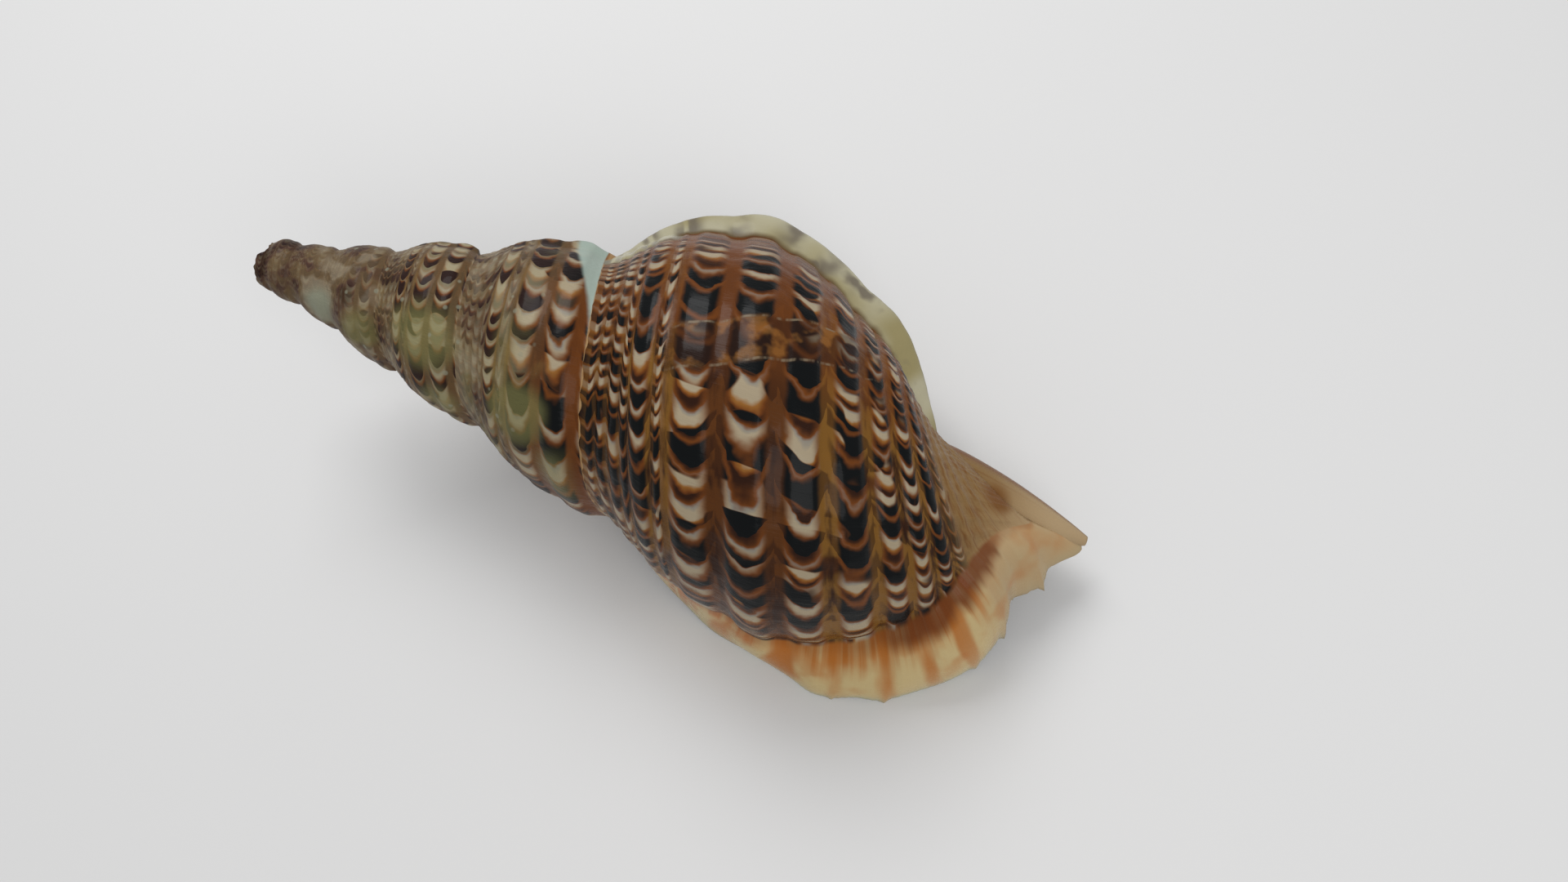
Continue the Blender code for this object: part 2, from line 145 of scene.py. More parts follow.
def smooth_curve(place, knots, values):
    """Follow a smooth curve that has the given values at its knots."""
    knots = np.asarray(knots)
    values = np.asarray(values)
    slopes = np.gradient(values, knots, axis=0)
    place = np.clip(np.asarray(place, dtype=float), knots[0], knots[-1])
    left = np.clip(np.searchsorted(knots, place) - 1, 0, len(knots) - 2)
    span = knots[left + 1] - knots[left]
    part = (place - knots[left]) / span
    if values.ndim > 1:
        span = span[..., None]
        part = part[..., None]
    rest = 1.0 - part
    bends = slopes[left] * span * part * rest * rest - slopes[left + 1] * span * part * part * rest
    mix = part * part * (3.0 - 2.0 * part)
    return values[left] * (1.0 - mix) + values[left + 1] * mix + bends


def whorl_point(turn, height, radius):
    """Place a point of the last whorl's outline on the whorl of any turn."""
    size = GROWTH ** turn
    low = smooth_step((height - SUTURE_HEIGHT) / SWELL_DEPTH)
    along = height * size * (1.0 + low * total(SHIFTS, turn))
    blunt = np.clip((BLUNT_HEIGHT - along) / BLUNT_LENGTH, 0.0, 1.0) ** BLUNT_CURVE
    out = radius * size * (1.0 + low * total(BULGES, turn)) * (1.0 + BLUNT_SWELL * blunt)
    angle = 2.0 * np.pi * turn
    return np.stack((out * np.cos(angle), out * np.sin(angle), along), axis=-1)


def grid_normals(points):
    """Outward direction at each point of a grid of turns by heights."""
    across = np.cross(np.gradient(points, axis=0), np.gradient(points, axis=1))
    return across / np.maximum(np.linalg.norm(across, axis=-1, keepdims=True), 1e-12)


def rib_knots():
    """Heights of the ribs' edges and middles, and the whole-numbered scale that they sit on."""
    heights = [SUTURE_HEIGHT]
    places = [-0.5]
    for number, (middle, width, _) in enumerate(RIBS):
        heights += [middle - width / 2.0, middle, middle + width / 2.0]
        places += [number - RIB_SHARE, number, number + RIB_SHARE]
    return heights + [TIP_HEIGHT], places + [len(RIBS) + 0.5]


def rib_place(height):
    """Where a height lies among the ribs: a whole number is the middle of a rib."""
    return np.interp(height, *rib_knots())


def rib_rise(height):
    """How far the spiral ribs stand out, and the gaps between them lie back."""
    place = rib_place(height)
    number = np.clip(np.rint(place).astype(int), 0, len(RIBS) - 1)
    across = np.abs(place - number) / RIB_SHARE
    rises = np.array([rise for _, _, rise in RIBS])[number]
    edge = smooth_step((height - SUTURE_HEIGHT) / 0.006) * smooth_step((TIP_HEIGHT - height) / 0.02)
    crest = rises * (1.0 - smooth_step((across - 0.5) / 0.6))
    return (crest - GAP_DEPTH * smooth_step(across - 0.3)) * edge


def old_lip_share(turn):
    """How near a place is to the crest of an old lip, steep on the side that grew last."""
    share = np.zeros_like(turn)
    for middle, strength in VARICES:
        back = 1.0 - smooth_step((middle - turn) / VARIX_BACK)
        front = 1.0 - smooth_step((turn - middle) / VARIX_FRONT)
        share = share + strength * np.minimum(back, front)
    return share


def relief(turn, height):
    """Ribs, faint growth ripples and old lips, as a rise above the plain outline."""
    share = old_lip_share(turn)
    ribs = rib_rise(height) * np.interp(turn, RIB_TURNS, RIB_SHARES) * (1.0 - OLD_LIP_LOSS * share)
    return ribs + ripple(turn, height) + share * smooth_curve(height, VARIX_HEIGHTS, VARIX_RISES)


def ripple(turn, height):
    """Uneven growth: faint swells that cross the ribs."""
    swell = 0.0
    for count, wander, often, lean, rise in RIPPLES:
        place = 2.0 * np.pi * (count * turn + wander * np.sin(often * turn))
        swell = swell + rise * np.sin(place + lean * height / TIP_HEIGHT)
    return swell


def outline_heights(spacing):
    """Heights at which the outline is sampled, closely enough to draw every rib."""
    heights = [SUTURE_HEIGHT]
    knots = rib_knots()[0]
    for start, end in zip(knots, knots[1:]):
        steps = max(1, math.ceil((end - start) / spacing))
        heights += list(np.linspace(start, end, steps + 1)[1:])
    return np.array(heights)


def lay_down(points):
    """Turn points of the shell's own frame as the shell rests, and set them on the floor."""
    upright = Matrix(((0.0, 0.0, 1.0), (0.0, -1.0, 0.0), (1.0, 0.0, 0.0)))
    rest = Euler((math.radians(REST_ROLL), math.radians(REST_PITCH), 0.0)).to_matrix()
    laid = points @ np.array(rest @ upright).T + np.array(REST_PLACE)
    laid[..., 2] = np.maximum(laid[..., 2], 0.0)
    return laid


def wrap_grid(points, growth, masks):
    """Lay a flat grid over rows and columns of points, with its place on the shell in UV maps."""
    columns, rows = points.shape[:2]
    bm = bmesh.new()
    bmesh.ops.create_grid(bm, x_segments=columns - 1, y_segments=rows - 1, size=0.5)
    flat = np.array([vertex.co[:2] for vertex in bm.verts]) + 0.5
    column = np.rint(flat[:, 0] * (columns - 1)).astype(int)
    row = np.rint(flat[:, 1] * (rows - 1)).astype(int)
    for vertex, place in zip(bm.verts, points[column, row]):
        vertex.co = place
    for name, values in masks.items():
        layer = bm.verts.layers.float.new(name)
        for vertex, value in zip(bm.verts, values[column, row]):
            vertex[layer] = value
    bm.verts.index_update()
    for name, values in growth.items():
        layer = bm.loops.layers.uv.new(name)
        pairs = values[column, row].tolist()
        for face in bm.faces:
            for loop in face.loops:
                loop[layer].uv = pairs[loop.vert.index]
    return bm


def growth_maps(turns, heights):
    """The two UV maps: crescents and ribs counted, and the plain turn and height."""
    steps = np.linspace(BAND_TURNS[0], BAND_TURNS[-1], 4000)
    counts = np.cumsum(np.interp(steps, BAND_TURNS, BAND_COUNTS)) * (steps[1] - steps[0])
    bands = np.interp(turns, steps, counts)
    return {
        'ribs': np.stack((bands, rib_place(heights)), axis=-1),
        'growth': np.stack((turns, heights), axis=-1),
    }


def shell_piece(name, bm):
    """Finish a bmesh as a smooth piece of the object, laid down with the rest."""
    bmesh.ops.recalc_face_normals(bm, faces=bm.faces)
    for vertex, place in zip(bm.verts, lay_down(np.array([vertex.co for vertex in bm.verts]))):
        vertex.co = place
    mesh = bpy.data.meshes.new(name)
    bm.to_mesh(mesh)
    bm.free()
    mesh.shade_smooth()
    piece = bpy.data.objects.new(name, mesh)
    bpy.context.scene.collection.objects.link(piece)
    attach(piece, "root")
    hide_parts("shell")
    return piece


def open_edges(bm):
    """The edges that only one face uses."""
    return [edge for edge in bm.edges if len(edge.link_faces) == 1]


def is_buried(face, growth):
    """Whether the next whorl covers a face."""
    marks = [loop[growth].uv for loop in face.loops]
    if min(mark.y for mark in marks) <= NEXT_SUTURE - 1e-6:
        return False
    return max(mark.x for mark in marks) < SPIRE_END - 1.0 + 1e-6


def break_apex(bm):
    """Break the apex off along a ragged line and leave a shallow hollow in the stump."""
    def jag(vertex):
        angle = math.atan2(vertex.co.y, vertex.co.x)
        rough = math.sin(2 * angle + 0.6) + 0.6 * math.sin(5 * angle) + 0.35 * math.sin(9 * angle + 1.9)
        return BREAK_ROUGHNESS * (rough + 0.35 * math.sin(17 * angle + 0.8) * math.sin(4 * angle))

    for vertex in bm.verts:
        vertex.co.z -= jag(vertex)
    everything = bm.verts[:] + bm.edges[:] + bm.faces[:]
    bmesh.ops.bisect_plane(
        bm, geom=everything, plane_co=(0, 0, BREAK_HEIGHT), plane_no=(0, 0, -1), clear_outer=True
    )
    for vertex in bm.verts:
        vertex.co.z += jag(vertex)
    rim = [edge for edge in open_edges(bm) if edge.verts[0].co.z < 0.03]
    for shrink, deeper in BREAK_HOLLOW:
        grown = bmesh.ops.extrude_edge_only(bm, edges=rim)['geom']
        rim = [part for part in grown if isinstance(part, bmesh.types.BMEdge)]
        for vertex in {vertex for edge in rim for vertex in edge.verts}:
            vertex.co.x *= shrink
            vertex.co.y *= shrink
            vertex.co.z += deeper
    bmesh.ops.holes_fill(bm, edges=rim)


def add_node(tree, kind, inputs=(), **settings):
    """Add a node with its settings, and link or set its inputs."""
    node = tree.nodes.new(kind)
    for name, value in settings.items():
        setattr(node, name, value)
    for name, value in dict(inputs).items():
        if isinstance(value, bpy.types.NodeSocket):
            tree.links.new(value, node.inputs[name])
        else:
            node.inputs[name].default_value = value
    return node


def reckon(tree, operation, *terms):
    """One sum of the pattern."""
    return add_node(tree, 'ShaderNodeMath', enumerate(terms), operation=operation).outputs[0]


def times(tree, first, second):
    """Multiply two values."""
    return reckon(tree, 'MULTIPLY', first, second)


def scaled(tree, value, by, onto):
    """Multiply a value and add it to another."""
    return reckon(tree, 'MULTIPLY_ADD', value, by, onto)


def less(tree, value, by):
    """Take one value from another."""
    return reckon(tree, 'SUBTRACT', value, by)


def apart(tree, first, second):
    """How far apart two values are."""
    return reckon(tree, 'ABSOLUTE', less(tree, first, second))


def higher(tree, first, second):
    """The higher of two values."""
    return reckon(tree, 'MAXIMUM', first, second)


def ease(tree, value, start, end):
    """Rise smoothly from 0 at start to 1 at end."""
    inputs = {'Value': value, 'From Min': start, 'From Max': end}
    return add_node(tree, 'ShaderNodeMapRange', inputs, interpolation_type='SMOOTHSTEP').outputs[0]


def between(tree, value, start, full, still_full, end):
    """Rise from 0 at start to 1, stay there, and fall to 0 at end."""
    return times(tree, ease(tree, value, start, full), ease(tree, value, end, still_full))


def stain(tree, share, under, over):
    """Lay one colour over another by its share."""
    inputs = {0: share, 6: under, 7: over}
    return add_node(tree, 'ShaderNodeMix', inputs, data_type='RGBA').outputs[2]


def cloud(tree, vector, scale, detail=1.0):
    """Soft noise around one half."""
    inputs = {'Vector': vector, 'Scale': scale, 'Detail': detail}
    return add_node(tree, 'ShaderNodeTexNoise', inputs).outputs[0]


def pair(tree, first, second, third=0.0):
    """Put numbers together as a place."""
    return add_node(tree, 'ShaderNodeCombineXYZ', {'X': first, 'Y': second, 'Z': third}).outputs[0]


def distance(tree, here, middle):
    """How far a place is from the middle of a spot."""
    inputs = {0: here, 1: middle}
    return add_node(tree, 'ShaderNodeVectorMath', inputs, operation='DISTANCE').outputs['Value']


def colour_run(tree, place, stops):
    """A run of colours along a line."""
    node = add_node(tree, 'ShaderNodeValToRGB', {'Fac': place})
    ramp = node.color_ramp
    while len(ramp.elements) < len(stops):
        ramp.elements.new(1.0)
    for element, (where, colour) in zip(ramp.elements, stops):
        element.position = where
        element.color = colour
    return node.outputs[0]


CREAM = (0.365, 0.298, 0.200, 1.0)
BLUISH_CREAM = (0.25, 0.225, 0.185, 1.0)
AMBER = (0.265, 0.110, 0.024, 1.0)
ORANGE_BROWN = (0.150, 0.045, 0.009, 1.0)
DARK_BROWN = (0.028, 0.010, 0.005, 1.0)
BLUE_BLACK = (0.0045, 0.0055, 0.0060, 1.0)
OCHRE = (0.190, 0.088, 0.017, 1.0)
CANAL_TAN = (0.235, 0.140, 0.055, 1.0)
CANAL_BROWN = (0.170, 0.070, 0.018, 1.0)
WORN_CREAM = (0.300, 0.265, 0.155, 1.0)
WORN_TAN = (0.140, 0.095, 0.045, 1.0)
PURPLE_BROWN = (0.022, 0.009, 0.007, 1.0)
ALGAE_GREEN = (0.215, 0.208, 0.078, 1.0)
CHALK = (0.255, 0.260, 0.190, 1.0)
OLD_LIP_CREAM = (0.440, 0.410, 0.285, 1.0)
OLD_LIP_YELLOW = (0.310, 0.265, 0.130, 1.0)
GREY_VIOLET = (0.140, 0.118, 0.092, 1.0)
LIP_CREAM = (0.56, 0.430, 0.210, 1.0)
LIP_GREEN = (0.42, 0.40, 0.23, 1.0)
LIP_ORANGE = (0.420, 0.130, 0.016, 1.0)
GROOVE_RED = (0.125, 0.030, 0.008, 1.0)
CALLUS = (0.36, 0.22, 0.10, 1.0)
APEX_CREAM = (0.230, 0.185, 0.125, 1.0)
SCAR_LINE = (0.220, 0.170, 0.110, 1.0)
GAP_RED = (0.085, 0.026, 0.007, 1.0)
CANAL_PINK = (0.420, 0.300, 0.168, 1.0)
MOTTLED_TAN = (0.130, 0.086, 0.044, 1.0)
MOTTLED_PINK = (0.080, 0.042, 0.030, 1.0)
FOLD_WHITE = (0.48, 0.42, 0.30, 1.0)
SUTURE_CALLUS = (0.340, 0.420, 0.370, 1.0)
# Pale crescents ripen from one end to the other
PALE_RUN = (
    (0.0, DARK_BROWN), (0.05, ORANGE_BROWN), (0.10, BLUISH_CREAM), (0.18, CREAM), (0.46, CREAM),
    (0.60, AMBER), (0.74, ORANGE_BROWN), (0.87, DARK_BROWN),
)
# The worn shell near the apex and along the sutures
WORN_RUN = (
    (0.34, PURPLE_BROWN), (0.43, MOTTLED_PINK), (0.48, MOTTLED_TAN), (0.54, MOTTLED_TAN),
    (0.61, APEX_CREAM),
)
# Dark and pale patches that the photographed side shows: turn, rib and how much darker than chance
PATCHES = (
    (-0.387, 7.4, 0.7), (-0.350, 7.4, 0.8), (-0.344, 5.5, 0.6), (-0.285, 6.0, 0.8), (-0.305, 7.4, 0.7),
    (-0.285, 8.1, 0.7), (-0.244, 7.1, 0.9), (-0.217, 6.1, 0.7), (-0.221, 8.1, 0.9), (-0.262, 9.1, 0.6),
    (-0.213, 9.1, 0.4), (-0.272, 11.6, 0.7), (-0.176, 7.1, 0.8), (-0.177, 8.1, 0.9), (-0.152, 6.1, 0.6),
    (-0.196, 11.1, 0.7), (-0.130, 7.2, 0.7), (-0.107, 7.9, 0.7), (-0.258, 6.0, -0.5), (-0.260, 8.1, -0.7),
    (-0.210, 7.1, -0.5), (-0.200, 6.1, -0.5), (-0.200, 8.2, -0.5), (-0.290, 9.6, -0.4), (-0.235, 9.6, -0.3),
    (-0.296, 3.9, 0.7), (-0.236, 4.0, 0.8), (-0.216, 3.8, 0.7), (-0.172, 4.2, 0.8), (-0.263, 2.1, 0.4),
    (-0.340, 9.6, 0.6), (-0.225, 12.0, 0.6), (-0.247, 5.4, -0.4), (-1.382, 7.0, 0.9), (-1.405, 6.2, 0.6),
    (-1.289, 6.2, 0.6), (-1.284, 7.1, 0.6), (-1.273, 4.6, 0.5), (-1.208, 6.1, 0.4), (-1.199, 7.0, 0.4),
    (-1.188, 4.5, 0.5), (-1.340, 7.1, -0.5), (-1.250, 6.1, -0.5), (-1.240, 7.1, -0.5), (-2.322, 6.9, 0.7),
    (-2.330, 7.5, 0.6), (-2.276, 6.0, 0.7), (-2.277, 4.0, 0.6), (-2.177, 7.2, 0.6), (-2.127, 6.2, 0.4),
    (-2.240, 6.5, -0.6), (-2.240, 7.2, -0.6), (-3.310, 5.6, 0.5), (-3.309, 6.5, 0.5), (-3.365, 7.2, 0.5),
    (-3.187, 7.3, 0.4),
)
PATCH_NARROWING = 70.0
SPIRE_PATCH_NARROWING = 40.0
# Brown spot on the back of the canal
CANAL_SPOT = (0.109, 0.003, 0.040)
# A bare grey place near the apex
BARE_PLACE = (-0.112, -0.005, 0.077)
# Overgrown places on the spire, and how far they reach
GROWN_PLACES = (
    ((-0.033, -0.023, 0.080), 0.013), ((-0.019, -0.037, 0.063), 0.014), ((-0.070, -0.010, 0.083), 0.014),
    ((-0.066, -0.028, 0.068), 0.012), ((-0.095, -0.010, 0.075), 0.008),
)
# The two edges of the repaired break, how much it leans, and the ribs that it crosses
SCAR_TURNS = (-0.331, -0.296)
SCAR_LEAN = 0.9
SCAR_RIBS = (4.8, 6.0, 8.8, 10.5)
# Spans in turns or ribs, from none to full and back to none: inside the break, in the growth that is
# crowded after the old lip, on the foot of its flange, on the callus, in the red gaps of the middle,
# and on the lower ribs of the flare
SCAR_SPAN = (-0.334, -0.328, -0.300, -0.292)
CROWDED_SPAN = (-0.56, -0.49, -0.46, -0.395)
FLANGE_FOOT_SPAN = (-0.56, -0.52, -0.450, -0.420)
CALLUS_SPAN = (-1.56, -1.48, -1.31, -1.28)
MIDDLE_RIBS = (5.9, 6.2, 7.8, 8.1)
LOWER_RIBS = (8.5, 10.5, 14.5, 16.5)
# Where along the shell it starts to look old and is fully so, and where the apex is worn
OLD_SHELL = (-0.018, -0.046)
WORN_APEX = (-0.078, -0.104)
# Between which ribs the pattern gives way to the plain canal
CANAL_RIBS = (12.2, 14.0)
# The gloss under and of the glaze
GLAZE_SPECULAR = 0.06
GLAZE_COAT = 0.08
GLAZE_COAT_ROUGHNESS = 0.10


def growth_line_group():
    """Fine growth lines that cross the ribs, as a height for a bump."""
    group = bpy.data.node_groups.new('growth_lines', 'ShaderNodeTree')
    for name, kind in (('Turn', 'Float'), ('Height', 'Float'), ('Place', 'Vector')):
        group.interface.new_socket(name, in_out='INPUT', socket_type='NodeSocket' + kind)
    group.interface.new_socket('Lines', in_out='OUTPUT', socket_type='NodeSocketFloat')
    given = group.nodes.new('NodeGroupInput').outputs
    turn = times(group, given['Turn'], 900.0)
    height = times(group, given['Height'], 160.0)
    fine = cloud(group, pair(group, turn, height), 1.0, 2.0)
    broad = cloud(group, pair(group, times(group, turn, 0.22), height, 4.0), 1.0, 1.0)
    pores = cloud(group, given['Place'], 900.0, 2.0)
    lines = scaled(group, pores, 0.15, scaled(group, fine, 0.45, broad))
    group.links.new(lines, group.nodes.new('NodeGroupOutput').inputs['Lines'])
    return group


def shell_places(tree, masks):
    """What the shell's materials read: its UV maps, its masks and its own coordinates."""
    at = {}
    for name, labels in (('ribs', ('bands', 'rib')), ('growth', ('turn', 'height'))):
        uv = add_node(tree, 'ShaderNodeUVMap', uv_map=name).outputs[0]
        parts = add_node(tree, 'ShaderNodeSeparateXYZ', {0: uv}).outputs
        at[labels[0]] = parts[0]
        at[labels[1]] = parts[1]
    for name in masks:
        at[name] = add_node(tree, 'ShaderNodeAttribute', attribute_name=name).outputs['Fac']
    at['here'] = add_node(tree, 'ShaderNodeTexCoord').outputs['Object']
    at['number'] = reckon(tree, 'ROUND', at['rib'])
    at['off_middle'] = apart(tree, at['rib'], at['number'])
    return at


def glazed_surface(tree, at, colour, roughness, strength):
    """Finish a shell material: its colour and gloss, and growth lines under the glaze."""
    shader = tree.nodes['Principled BSDF']
    lines = add_node(tree, 'ShaderNodeGroup', node_tree=growth_lines)
    tree.links.new(at['turn'], lines.inputs['Turn'])
    tree.links.new(at['height'], lines.inputs['Height'])
    tree.links.new(at['here'], lines.inputs['Place'])
    inputs = {'Height': lines.outputs['Lines'], 'Strength': strength, 'Distance': 0.0005}
    bump = add_node(tree, 'ShaderNodeBump', inputs)
    tree.links.new(colour, shader.inputs['Base Color'])
    tree.links.new(roughness, shader.inputs['Roughness'])
    tree.links.new(bump.outputs[0], shader.inputs['Normal'])
    shader.inputs['Specular IOR Level'].default_value = GLAZE_SPECULAR
    shader.inputs['Coat Weight'].default_value = GLAZE_COAT
    shader.inputs['Coat Roughness'].default_value = GLAZE_COAT_ROUGHNESS


def outside_places(tree):
    """What the outside reads besides: its age, how far across a rib it is, and soft noises."""
    at = shell_places(tree, ('glaze', 'flare', 'old_lip', 'fold'))
    rib = at['rib']
    at['x'] = add_node(tree, 'ShaderNodeSeparateXYZ', {0: at['here']}).outputs[0]
    at['old'] = ease(tree, at['x'], *OLD_SHELL)
    at['wobble'] = less(tree, cloud(tree, at['here'], 150.0, 2.0), 0.5)
    at['swing'] = less(tree, cloud(tree, at['here'], 60.0, 1.0), 0.5)
    fourth = ease(tree, apart(tree, rib, 4.0), 0.52, 0.46)
    wide = higher(tree, fourth, ease(tree, rib, 5.4, 5.6))
    at['narrow'] = less(tree, 1.0, wide)
    at['lane'] = scaled(tree, less(tree, at['number'], 3.0), wide, 3.0)
    across = reckon(tree, 'DIVIDE', at['off_middle'], RIB_SHARE)
    across = scaled(tree, at['wobble'], 0.30, scaled(tree, at['swing'], 0.4, across))
    at['across'] = higher(tree, across, 0.0)
    at['patch_place'] = pair(tree, times(tree, at['turn'], 13.0), times(tree, rib, 0.5))
    at['patches'] = cloud(tree, at['patch_place'], 1.0, 2.0)
    streak_place = pair(tree, times(tree, at['turn'], 30.0), times(tree, rib, 5.0))
    at['streaks'] = cloud(tree, streak_place, 1.0, 3.0)
    return at


def cell_places(tree, at):
    """Which crescent of its rib a place is in, and how far along it."""
    drift = times(tree, at['rib'], times(tree, at['narrow'], 0.16))
    wander_place = pair(tree, times(tree, at['bands'], 0.15), scaled(tree, at['lane'], 7.7, drift))
    wander = times(tree, cloud(tree, wander_place, 1.0), 4.0)
    from_seventh = reckon(tree, 'POWER', apart(tree, at['lane'], 7.0), 1.2)
    closeness = scaled(tree, from_seventh, 0.09, 1.0)
    place = times(tree, reckon(tree, 'ADD', at['bands'], wander), closeness)
    curve = reckon(tree, 'POWER', at['across'], 1.9)
    bow = times(tree, curve, scaled(tree, at['narrow'], -0.28, 0.50))
    place = reckon(tree, 'ADD', place, scaled(tree, at['wobble'], 0.45, bow))
    cell = reckon(tree, 'FLOOR', place)
    return cell, less(tree, place, cell)


def dark_share(tree, at, chance):
    """Whether a crescent is dark: by chance, in soft patches, and where the list has a patch."""
    odds = scaled(tree, chance, 0.6, times(tree, at['patches'], 1.5))
    for patch_turn, patch_rib, darker in PATCHES:
        narrowing = PATCH_NARROWING if patch_turn > -1.0 else SPIRE_PATCH_NARROWING
        aside = times(tree, less(tree, at['turn'], patch_turn), narrowing)
        beside = times(tree, less(tree, at['rib'], patch_rib), 1.5)
        reach = scaled(tree, aside, aside, times(tree, beside, beside))
        odds = scaled(tree, ease(tree, reach, 2.2, 0.4), darker, odds)
    odds = scaled(tree, at['old'], 0.05, odds)
    odds = scaled(tree, ease(tree, at['rib'], 8.5, 10.5), 0.07, odds)
    odds = scaled(tree, ease(tree, at['turn'], -1.0, -0.9), 0.05, odds)
    return ease(tree, odds, 0.95, 1.13)


def crescents(tree, at):
    """Crescents on every rib, cream with brown or blue-black ends, and where they are black."""
    cell, along = cell_places(tree, at)
    chance_place = {'Vector': pair(tree, cell, at['lane'])}
    chance_node = add_node(tree, 'ShaderNodeTexWhiteNoise', chance_place, noise_dimensions='2D')
    chance = add_node(tree, 'ShaderNodeSeparateColor', {0: chance_node.outputs['Color']}).outputs
    dark = dark_share(tree, at, chance[0])
    into = less(tree, along, scaled(tree, chance[1], 0.50, 0.10))
    browned = times(tree, ease(tree, into, -0.24, 0.06), dark)
    blackened = times(tree, ease(tree, into, -0.04, 0.20), dark)
    ripening = reckon(tree, 'POWER', along, scaled(tree, chance[2], 1.6, 0.8))
    pale = colour_run(tree, ripening, PALE_RUN)
    pale = stain(tree, at['old'], pale, stain(tree, 0.55, pale, WORN_CREAM))
    marks = stain(tree, browned, pale, ORANGE_BROWN)
    black = stain(tree, at['old'], BLUE_BLACK, PURPLE_BROWN)
    return stain(tree, blackened, marks, black), blackened


def with_gaps(tree, at, marks, blackened):
    """The gaps between the ribs: ochre, red in the middle of the whorl, and darker in streaks."""
    in_middle = between(tree, at['rib'], *MIDDLE_RIBS)
    in_patch = ease(tree, cloud(tree, at['patch_place'], 2.0), 0.60, 0.72)
    gap_colour = stain(tree, times(tree, higher(tree, in_middle, in_patch), 0.9), OCHRE, GAP_RED)
    streaked = reckon(tree, 'ADD', at['patches'], at['streaks'])
    gap_colour = stain(tree, ease(tree, streaked, 0.95, 1.25), gap_colour, DARK_BROWN)
    gap_colour = stain(tree, times(tree, blackened, 0.6), gap_colour, DARK_BROWN)
    redder = times(tree, ease(tree, at['turn'], -0.27, -0.33), less(tree, 0.7, at['old']))
    gap_colour = stain(tree, higher(tree, redder, 0.0), gap_colour, ORANGE_BROWN)
    gap_colour = stain(tree, times(tree, at['old'], 0.55), gap_colour, WORN_TAN)
    browner = times(tree, ease(tree, at['across'], 0.40, 0.95), scaled(tree, at['old'], -0.4, 0.75))
    browner = times(tree, browner, scaled(tree, at['narrow'], -0.4, 1.0))
    marks = stain(tree, times(tree, browner, less(tree, 1.0, blackened)), marks, ORANGE_BROWN)
    gap = times(tree, ease(tree, at['across'], 0.74, 1.06), scaled(tree, at['narrow'], -0.5, 1.0))
    return stain(tree, gap, marks, gap_colour)


def with_canal(tree, at, colour):
    """The plain canal with its brown spot, and the crowded growth after the old lip."""
    canal_colour = stain(tree, ease(tree, at['streaks'], 0.42, 0.72), CANAL_TAN, CANAL_BROWN)
    canal_colour = stain(tree, ease(tree, at['x'], 0.100, 0.130), canal_colour, CANAL_PINK)
    gone = scaled(tree, at['swing'], 0.008, distance(tree, at['here'], CANAL_SPOT))
    canal_colour = stain(tree, ease(tree, gone, 0.008, 0.002), canal_colour, CANAL_BROWN)
    colour = stain(tree, ease(tree, at['rib'], *CANAL_RIBS), colour, canal_colour)
    crowded = between(tree, at['turn'], *CROWDED_SPAN)
    return stain(tree, times(tree, crowded, 0.7), colour, ORANGE_BROWN)


def with_scar(tree, at, colour):
    """A repaired break across the back: mottled shell between two pale lines."""
    slant = scaled(tree, less(tree, at['height'], 0.205), SCAR_LEAN, at['turn'])
    slant = scaled(tree, at['wobble'], 0.004, slant)
    scarred = between(tree, at['rib'], *SCAR_RIBS)
    inside = times(tree, between(tree, slant, *SCAR_SPAN), scarred)
    mottle = stain(tree, ease(tree, cloud(tree, at['here'], 110.0, 3.0), 0.38, 0.52), AMBER, DARK_BROWN)
    colour = stain(tree, times(tree, inside, 0.6), colour, mottle)
    for scar_turn in SCAR_TURNS:
        line = ease(tree, apart(tree, slant, scar_turn), 0.0016, 0.0004)
        line = times(tree, line, ease(tree, at['streaks'], 0.40, 0.62))
        line = times(tree, line, scarred)
        colour = stain(tree, times(tree, line, 0.7), colour, SCAR_LINE)
    return colour


def with_wear(tree, at, colour):
    """The spire worn dull, green with algae in places and flecked with chalk."""
    near_suture = times(tree, at['narrow'], times(tree, at['old'], 0.55))
    near_apex = times(tree, ease(tree, at['x'], *WORN_APEX), 0.80)
    worn_colour = colour_run(tree, cloud(tree, at['here'], 95.0, 2.0), WORN_RUN)
    colour = stain(tree, higher(tree, near_suture, near_apex), colour, worn_colour)
    grown = times(tree, ease(tree, cloud(tree, at['here'], 40.0, 2.0), 0.58, 0.72), 0.6)
    grown = times(tree, grown, ease(tree, at['x'], -0.095, -0.080))
    for middle, reach in GROWN_PLACES:
        gone = scaled(tree, at['swing'], 0.012, distance(tree, at['here'], middle))
        grown = higher(tree, grown, ease(tree, gone, reach, reach * 0.4))
    grown = times(tree, grown, ease(tree, at['x'], -0.012, -0.022))
    colour = stain(tree, times(tree, grown, 0.50), colour, ALGAE_GREEN)
    gone = scaled(tree, at['swing'], 0.016, distance(tree, at['here'], BARE_PLACE))
    colour = stain(tree, ease(tree, gone, 0.0085, 0.0030), colour, CHALK)
    flecks = add_node(tree, 'ShaderNodeTexVoronoi', {'Vector': at['here'], 'Scale': 330.0}).outputs
    fleck_chance = add_node(tree, 'ShaderNodeSeparateColor', {0: flecks['Color']}).outputs[0]
    fleck = ease(tree, flecks['Distance'], 0.34, 0.18)
    fleck = times(tree, fleck, ease(tree, fleck_chance, 0.88, 0.92))
    return stain(tree, times(tree, fleck, times(tree, at['old'], 0.6)), colour, CHALK)


